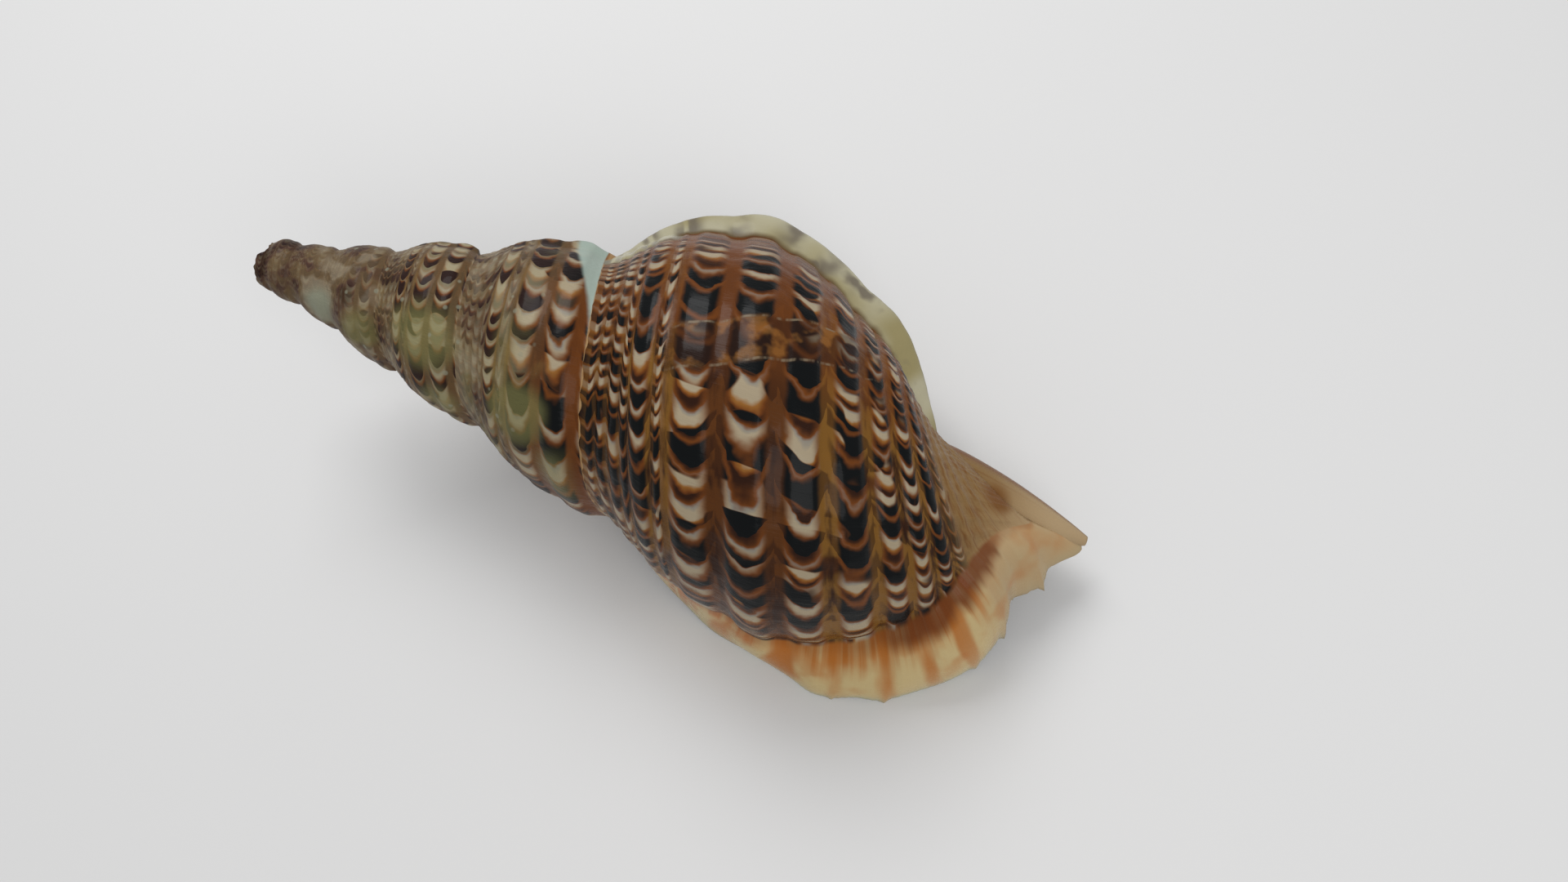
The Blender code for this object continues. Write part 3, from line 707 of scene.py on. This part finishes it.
def with_callus(tree, at, colour):
    """Pale callus where the lip once lay against the whorl before the last."""
    wedge = scaled(tree, ease(tree, at['turn'], -1.29, -1.46), 0.0165, at['height'])
    wedge = scaled(tree, at['wobble'], 0.002, wedge)
    share = between(tree, at['turn'], *CALLUS_SPAN)
    share = times(tree, share, ease(tree, wedge, 0.2190, 0.2225))
    return stain(tree, times(tree, share, 0.92), colour, SUTURE_CALLUS)


def with_flange(tree, at, colour):
    """The flange of the old lip, blotched where the gaps between the ribs run out."""
    lip_blots = cloud(tree, at['here'], 85.0, 2.0)
    in_gap = times(tree, ease(tree, at['off_middle'], 0.10, 0.46), ease(tree, at['rib'], 9.6, 8.6))
    blots = times(tree, ease(tree, lip_blots, 0.30, 0.58), in_gap)
    blots = higher(tree, blots, ease(tree, lip_blots, 0.52, 0.64))
    yellowed = ease(tree, cloud(tree, at['here'], 50.0, 1.0), 0.40, 0.66)
    flange_colour = stain(tree, yellowed, OLD_LIP_CREAM, OLD_LIP_YELLOW)
    flange_colour = stain(tree, times(tree, blots, 0.85), flange_colour, GREY_VIOLET)
    crest = times(tree, at['old_lip'], ease(tree, at['turn'], -0.9, -0.7))
    foot = between(tree, at['turn'], *FLANGE_FOOT_SPAN)
    foot = times(tree, ease(tree, at['height'], 0.182, 0.162), foot)
    share = scaled(tree, at['wobble'], 0.10, higher(tree, crest, foot))
    flange_colour = stain(tree, ease(tree, share, 0.34, 0.12), flange_colour, WORN_TAN)
    return stain(tree, ease(tree, share, 0.07, 0.16), colour, flange_colour)


def with_flare(tree, at, colour):
    """The flared lip: orange bands that fan out to a pale green edge, from a red groove."""
    flare = at['flare']
    rib = at['rib']
    fan_place = pair(tree, times(tree, rib, 1.3), times(tree, flare, 0.8), 3.0)
    fan_noise = less(tree, cloud(tree, fan_place, 1.0, 2.0), 0.5)
    fans = ease(tree, scaled(tree, fan_noise, 1.5, at['off_middle']), 0.16, 0.50)
    fans = times(tree, fans, scaled(tree, ease(tree, rib, 11.0, 14.0), -0.75, 1.0))
    fade = scaled(tree, reckon(tree, 'POWER', flare, 3.0), -0.7, 0.9)
    flare_colour = stain(tree, ease(tree, flare, 0.80, 1.0), LIP_CREAM, LIP_GREEN)
    flare_colour = stain(tree, times(tree, fans, fade), flare_colour, LIP_ORANGE)
    flare_colour = stain(tree, times(tree, ease(tree, rib, 11.5, 14.0), 0.8), flare_colour, CANAL_PINK)
    blush = ease(tree, cloud(tree, at['here'], 75.0, 2.0), 0.46, 0.66)
    blush = times(tree, blush, ease(tree, flare, 0.95, 0.55))
    flare_colour = stain(tree, times(tree, blush, 0.45), flare_colour, LIP_ORANGE)
    near_groove = ease(tree, scaled(tree, fan_noise, 1.1, flare), 0.42, 0.05)
    near_groove = times(tree, near_groove, ease(tree, rib, 15.5, 12.5))
    near_groove = times(tree, near_groove, scaled(tree, ease(tree, at['streaks'], 0.40, 0.62), 0.6, 0.3))
    flare_colour = stain(tree, near_groove, flare_colour, LIP_ORANGE)
    below = between(tree, rib, *LOWER_RIBS)
    red_edge = scaled(tree, below, -0.10, scaled(tree, fan_noise, 0.3, flare))
    reddened = times(tree, ease(tree, red_edge, 0.20, 0.02), scaled(tree, below, 0.60, 0.25))
    flare_colour = stain(tree, reddened, flare_colour, GROOVE_RED)
    return stain(tree, ease(tree, flare, 0.0, 0.05), colour, flare_colour)


def with_glaze(tree, at, colour):
    """Glaze of the mouth over the wall and the pillar, white on the folds."""
    glazed = stain(tree, ease(tree, at['streaks'], 0.45, 0.7), CALLUS, ORANGE_BROWN)
    glazed = stain(tree, ease(tree, at['fold'], -0.1, -0.6), glazed, DARK_BROWN)
    glazed = stain(tree, ease(tree, at['fold'], 0.2, 0.7), glazed, FOLD_WHITE)
    return stain(tree, at['glaze'], colour, glazed)


def triton_outside():
    """The patterned outside of the shell, which also shows the glaze of its mouth and pillar."""
    material = bpy.data.materials.new('triton_outside')
    material.use_nodes = True
    tree = material.node_tree
    at = outside_places(tree)
    marks, blackened = crescents(tree, at)
    colour = with_gaps(tree, at, marks, blackened)
    for layer in (with_canal, with_scar, with_wear, with_callus, with_flange, with_flare, with_glaze):
        colour = layer(tree, at, colour)
    dulled = scaled(tree, at['old'], 0.20, 0.20)
    roughness = scaled(tree, cloud(tree, at['here'], 240.0, 2.0), 0.16, dulled)
    glazed_surface(tree, at, colour, roughness, 0.35)
    return material


def mouth_glaze():
    """Smooth orange and cream glaze of the mouth, with brown blots in pairs near the lip's edge."""
    material = bpy.data.materials.new('mouth_glaze')
    material.use_nodes = True
    tree = material.node_tree
    at = shell_places(tree, ('flare',))
    depth = colour_run(tree, at['flare'], ((0.0, CALLUS), (0.5, LIP_CREAM), (1.0, LIP_GREEN)))
    near_edge = between(tree, at['flare'], 0.30, 0.62, 0.86, 0.97)
    blots = times(tree, ease(tree, at['off_middle'], 0.27, 0.36), near_edge)
    roughness = scaled(tree, cloud(tree, at['here'], 200.0), 0.12, 0.16)
    glazed_surface(tree, at, stain(tree, blots, depth, DARK_BROWN), roughness, 0.12)
    return material


growth_lines = growth_line_group()
outside = triton_outside()
mouth = mouth_glaze()

spire_heights = outline_heights(SPIRE_ROW_SPACING)
suture_row = int(np.searchsorted(spire_heights, NEXT_SUTURE))
spire_heights = np.insert(spire_heights, suture_row, NEXT_SUTURE)
spire_turns = np.arange(round((SPIRE_END - SPIRE_START) * SPIRE_STEPS) + 1) / SPIRE_STEPS + SPIRE_START
turns, heights = np.meshgrid(spire_turns, spire_heights, indexing='ij')
base = whorl_point(turns, heights, smooth_curve(heights, WHORL_HEIGHTS, WHORL_RADII))
# The relief dies out where the next whorl covers it, and the next suture is welded on
bare = smooth_step((NEXT_SUTURE - heights) / COVER_EDGE) + (turns > SPIRE_END - 1.0) * 1.0
rise = relief(turns, heights) * np.minimum(bare, 1.0)
points = base + grid_normals(base) * (rise * GROWTH ** turns)[..., None]
points[:-SPIRE_STEPS, suture_row] = points[SPIRE_STEPS:, 0]
axis_row = np.stack((0.0 * spire_turns, 0.0 * spire_turns, TIP_HEIGHT * GROWTH ** spire_turns), axis=-1)
points = np.concatenate((points, axis_row[:, None]), axis=1)
turns = np.concatenate((turns, turns[:, -1:]), axis=1)
heights = np.concatenate((heights, heights[:, -1:]), axis=1)
inner_wall = smooth_step((heights - GLAZE_HEIGHT) / 0.006) * smooth_step((GLAZE_TURN - turns) / 0.03)
on_outside = (turns < -1.0) & (heights < NEXT_SUTURE)
glazed = np.where(on_outside | (turns <= GLAZE_END_TURN), 0.0, inner_wall)
spire_masks = {'glaze': glazed, 'flare': 0.0 * turns, 'old_lip': old_lip_share(turns)}
spire_mesh = wrap_grid(points, growth_maps(turns, heights), spire_masks)
growth_layer = spire_mesh.loops.layers.uv['growth']
buried = [face for face in spire_mesh.faces if is_buried(face, growth_layer)]
bmesh.ops.delete(spire_mesh, geom=buried, context='FACES')
bmesh.ops.remove_doubles(spire_mesh, verts=spire_mesh.verts, dist=WELD_DISTANCE)
break_apex(spire_mesh)
bmesh.ops.holes_fill(spire_mesh, edges=open_edges(spire_mesh))
spire = shell_piece('spire', spire_mesh)
spire.data.set_sharp_from_angle(angle=math.radians(BREAK_ANGLE))
spire.data.materials.append(outside)

# Last whorl and lip
# The youngest whorl and the flared lip that it ends in: a thin wall of glazed shell with wide
# spiral ribs, an old lip left standing as a flange half a turn back, and small teeth on the edge
# where the ribs run out.
GROOVE_HEIGHTS = (0.150, 0.195, 0.222, 0.236, 0.250, 0.262, 0.271, 0.283, 0.300)
GROOVE_ANGLES = (-4.0, -10.0, -10.0, -13.0, -23.0, -38.0, -53.0, -66.0, -77.0)
GROOVE_REACH = 0.45
LIP_HEIGHTS = (
    0.147, 0.150, 0.160, 0.170, 0.182, 0.195, 0.208, 0.220, 0.230, 0.238,
    0.245, 0.252, 0.260, 0.267, 0.274, 0.281, 0.288, 0.294, 0.300, 0.301,
)
LIP_EDGE = (
    (0.0385, 0.0085, 0.1480), (0.0430, 0.0095, 0.1508), (0.0545, 0.0130, 0.1620),
    (0.0615, 0.0150, 0.1710), (0.0685, 0.0170, 0.1830), (0.0735, 0.0155, 0.1945),
    (0.0758, 0.0130, 0.2090), (0.0784, 0.0095, 0.2230), (0.0803, 0.0060, 0.2340),
    (0.0775, 0.0042, 0.2445), (0.0745, 0.0040, 0.2550), (0.0680, 0.0045, 0.2650),
    (0.0585, 0.0045, 0.2765), (0.0485, 0.0015, 0.2825), (0.0375, -0.0020, 0.2840),
    (0.0285, -0.0040, 0.2840), (0.0205, -0.0050, 0.2895), (0.0130, -0.0040, 0.2925),
    (0.0045, -0.0010, 0.2988), (0.0030, -0.0012, 0.2970),
)
# Teeth on the lip's edge: height in the groove that each springs from, length and half width
TEETH = (
    (0.2335, 0.0014, 0.0013), (0.2452, 0.0018, 0.0012), (0.2635, 0.0020, 0.0013),
    (0.2725, 0.0034, 0.0014), (0.2880, 0.0030, 0.0014),
)
# Chipped bites between the teeth
BITES = (
    (0.2395, 0.0007, 0.0050), (0.2680, 0.0008, 0.0040), (0.2795, 0.0024, 0.0050), (0.2920, 0.0014, 0.0026),
)
# Where the wall springs from the spire, and how it rises there
WALL_START_TURNS = (-0.89, -0.87, -0.855)
WALL_START_RISES = (-0.0012, 0.0001, 0.00015)
SUTURE_ROOT = (0.1478, 0.0394)
CANAL_ROOT = (0.3010, 0.0050)
WALL_THICKNESS = 0.0026
LIP_THICKNESS = 0.0012
THINNING = 0.004
WALL_ROW_SPACING = 0.00095
FLARE_STEPS = 24
FLARE_ARCH = 0.30
FLARE_CREST = 0.45
ARCH_START = 0.185
ARCH_EASE = 0.045
ARCH_END_EASE = 0.012


def lip_edge(rows):
    """The lip's edge with its teeth and bites, in metres outward, for each row."""
    out = np.zeros_like(rows)
    for middle, length, half in TEETH:
        out = out + length * np.clip(1.0 - np.abs(rows - middle) / half, 0.0, 1.0) ** 1.3
    for middle, depth, half in BITES:
        out = out - depth * hump(rows, middle, half)
    return out + 0.00025 * np.sin(rows * 5200.0) * np.sin(rows * 1730.0)


def flared_lip(groove, normals, rows):
    """The outer side of the flare, from the groove to the edge."""
    edge = smooth_curve(rows, LIP_HEIGHTS, LIP_EDGE)
    out = edge - groove
    width = np.linalg.norm(out, axis=-1, keepdims=True)
    edge = edge + out / np.maximum(width, 1e-9) * lip_edge(rows)[:, None]
    out = edge - groove
    arch = FLARE_ARCH * smooth_step((rows - ARCH_START) / ARCH_EASE)
    arch = arch * smooth_step((TIP_HEIGHT - rows) / ARCH_END_EASE)
    crest = groove + out * FLARE_CREST + normals * width * arch[:, None]
    steps = (np.arange(1, FLARE_STEPS + 1) / FLARE_STEPS)[:, None, None]
    return groove * (1.0 - steps) ** 2 + crest * 2.0 * steps * (1.0 - steps) + edge * steps ** 2


# The wall is sampled more closely where the old lip stands on it
wall_steps = np.concatenate((
    np.array([-0.89, -0.88, -0.87]),
    np.linspace(-0.86, -0.60, 48), np.linspace(-0.595, -0.470, 52), np.linspace(-0.465, 0.0, 90),
))
rows = outline_heights(WALL_ROW_SPACING)
radii = smooth_curve(rows, WHORL_HEIGHTS, WHORL_RADII)
rows = np.concatenate((SUTURE_ROOT[:1], rows, CANAL_ROOT[:1]))
radii = np.concatenate((SUTURE_ROOT[1:], radii, CANAL_ROOT[1:]))
lean = smooth_step(wall_steps / GROOVE_REACH + 1.0)[:, None]
turns = wall_steps[:, None] + lean * smooth_curve(rows, GROOVE_HEIGHTS, GROOVE_ANGLES)[None, :] / 360.0
heights = rows[None, :] + 0.0 * turns
base = whorl_point(turns, heights, radii[None, :])
normals = grid_normals(base)
start = np.interp(wall_steps, WALL_START_TURNS, WALL_START_RISES)[:, None]
rise = start + relief(turns, heights) * GROWTH ** turns
outer = base + normals * rise[..., None]
flare = flared_lip(outer[-1], normals[-1], rows)
outer = np.concatenate((outer, flare))
down = grid_normals(outer)
flare_share = np.concatenate((np.zeros(len(wall_steps)), np.arange(1, FLARE_STEPS + 1) / FLARE_STEPS))
# The inner side lies the wall's thickness below, and meets the outer side at the edges
thickness = WALL_THICKNESS + (LIP_THICKNESS - WALL_THICKNESS) * flare_share[:, None]
thickness = thickness * smooth_step((rows - rows[0]) / THINNING) * smooth_step((rows[-1] - rows) / THINNING)
thickness = thickness * smooth_step(np.arange(len(outer)) / 4.0)[:, None]
inside_base = np.concatenate((base, flare))
inner = inside_base - np.concatenate((normals, down[len(wall_steps):])) * thickness[..., None]
inner[:, 0] = outer[:, 0]
inner[:, -1] = outer[:, -1]
inner[0] = outer[0]
round_edge = (outer[-1] + inner[-1]) / 2.0 + (outer[-1] - outer[-2]) * 0.25
sheet_points = np.concatenate((outer, round_edge[None], inner[::-1]))
# The sheet runs out along the outer side, round the lip's edge and back along the inner side
last_turn = turns[-1:] + 0.0 * flare_share[len(wall_steps):, None]
sheet_turns = np.concatenate((turns, last_turn))
sheet_turns = np.concatenate((sheet_turns, sheet_turns[-1:], sheet_turns[::-1]))
sheet_heights = rows[None, :] + 0.0 * sheet_turns
sheet_flare = np.concatenate((flare_share, [1.0], flare_share[::-1]))[:, None] + 0.0 * sheet_turns
sheet_inside = np.concatenate((0.0 * flare_share, [0.5], 0.0 * flare_share + 1.0))[:, None]
sheet_inside = sheet_inside + 0.0 * sheet_turns
sheet_old_lip = np.zeros_like(sheet_turns)
sheet_old_lip[:len(wall_steps)] = old_lip_share(turns)
sheet_masks = {'glaze': sheet_inside, 'flare': sheet_flare, 'old_lip': sheet_old_lip}
wall_mesh = wrap_grid(sheet_points, growth_maps(sheet_turns, sheet_heights), sheet_masks)
bmesh.ops.remove_doubles(wall_mesh, verts=wall_mesh.verts, dist=WELD_DISTANCE)
inside_layer = wall_mesh.verts.layers.float['glaze']
for face in wall_mesh.faces:
    face.material_index = int(min(vertex[inside_layer] for vertex in face.verts) > 0.4)
last_whorl = shell_piece('last_whorl', wall_mesh)
last_whorl.data.materials.append(outside)
last_whorl.data.materials.append(mouth)

# Pillar
# The solid pillar that the whorls wind around, which ends in the canal's tip. It is the same shell,
# laid down as the mouth moves on, and glazed and folded on the side that faces the mouth.
PILLAR_HEIGHTS = (0.130, 0.160, 0.190, 0.215, 0.248, 0.262, 0.275, 0.288, 0.296, 0.300)
PILLAR_RADII = (0.0060, 0.0090, 0.0120, 0.0140, 0.0130, 0.0112, 0.0090, 0.0058, 0.0032, 0.0016)
PILLAR_SIDES = 64
PILLAR_ROWS = 240
PILLAR_BEND_START = 0.248
PILLAR_BEND = 0.0030
PLAIN_HEIGHT = 0.292
# The folds: the turn that they face, how high they stand, and between which heights
FOLD_TURN = 0.14
FOLD_RISE = 0.0005
FOLD_START = 0.19
FOLD_END = 0.285

pillar_heights = np.linspace(PILLAR_HEIGHTS[0], PILLAR_HEIGHTS[-1], PILLAR_ROWS)
pillar_angles = np.linspace(0.0, 2.0 * np.pi, PILLAR_SIDES + 1)
angles, along = np.meshgrid(pillar_angles, pillar_heights, indexing='ij')
in_mouth = smooth_step(np.cos(angles - 2.0 * np.pi * FOLD_TURN) * 2.0 + 0.2)
wave = along * 1500.0 + angles + 1.3 * np.sin(along * 230.0) + 0.6 * np.sin(along * 610.0 + 2.0 * angles)
folds = np.sin(wave) * in_mouth * smooth_step((along - FOLD_START) / 0.02)
pillar_out = smooth_curve(along, PILLAR_HEIGHTS, PILLAR_RADII)
pillar_out = pillar_out + FOLD_RISE * folds * smooth_step((FOLD_END - along) / 0.02)
bend = PILLAR_BEND * smooth_step((along - PILLAR_BEND_START) / (PILLAR_HEIGHTS[-1] - PILLAR_BEND_START))
points = np.stack((bend + pillar_out * np.cos(angles), pillar_out * np.sin(angles), along), axis=-1)
pillar_masks = {'glaze': in_mouth, 'flare': 0.0 * angles, 'old_lip': 0.0 * angles, 'fold': folds}
pillar_growth = growth_maps(angles / (2.0 * np.pi) - 1.0, np.maximum(along, PLAIN_HEIGHT))
pillar_mesh = wrap_grid(points, pillar_growth, pillar_masks)
bmesh.ops.remove_doubles(pillar_mesh, verts=pillar_mesh.verts, dist=WELD_DISTANCE)
bmesh.ops.holes_fill(pillar_mesh, edges=open_edges(pillar_mesh))
pillar = shell_piece('pillar', pillar_mesh)
pillar.data.materials.append(outside)

# Floor and light
# A plain pale floor and plain soft studio light: a white sky and two soft boxes, given as place,
# width and power.
FLOOR_PAINT = (0.74, 0.74, 0.74, 1.0)
SKY_WHITE = (1.0, 1.0, 1.0, 1.0)
SKY_STRENGTH = 0.43
SOFT_BOXES = (((-0.35, 0.55, 0.95), 0.6, 6.8), ((0.75, -0.55, 0.9), 0.8, 4.8))

floor_mesh = bpy.data.meshes.new('floor')
floor_bm = bmesh.new()
bmesh.ops.create_grid(floor_bm, x_segments=1, y_segments=1, size=6.0)
floor_bm.to_mesh(floor_mesh)
floor_bm.free()
floor = bpy.data.objects.new('floor', floor_mesh)
bpy.context.scene.collection.objects.link(floor)
floor_paint = bpy.data.materials.new('floor_paint')
floor_paint.use_nodes = True
floor_shader = floor_paint.node_tree.nodes['Principled BSDF']
floor_shader.inputs['Base Color'].default_value = FLOOR_PAINT
floor_shader.inputs['Roughness'].default_value = 0.9
floor_mesh.materials.append(floor_paint)

world = bpy.data.worlds.new('studio')
world.use_nodes = True
sky = world.node_tree.nodes['Background']
sky.inputs['Color'].default_value = SKY_WHITE
sky.inputs['Strength'].default_value = SKY_STRENGTH
bpy.context.scene.world = world
for place, size, power in SOFT_BOXES:
    lamp = bpy.data.lights.new('soft_box', 'AREA')
    lamp.size = size
    lamp.energy = power
    box = bpy.data.objects.new('soft_box', lamp)
    box.location = place
    box.rotation_euler = (-Vector(place)).to_track_quat('-Z', 'Y').to_euler()
    bpy.context.scene.collection.objects.link(box)
bpy.context.scene.view_settings.view_transform = 'Standard'
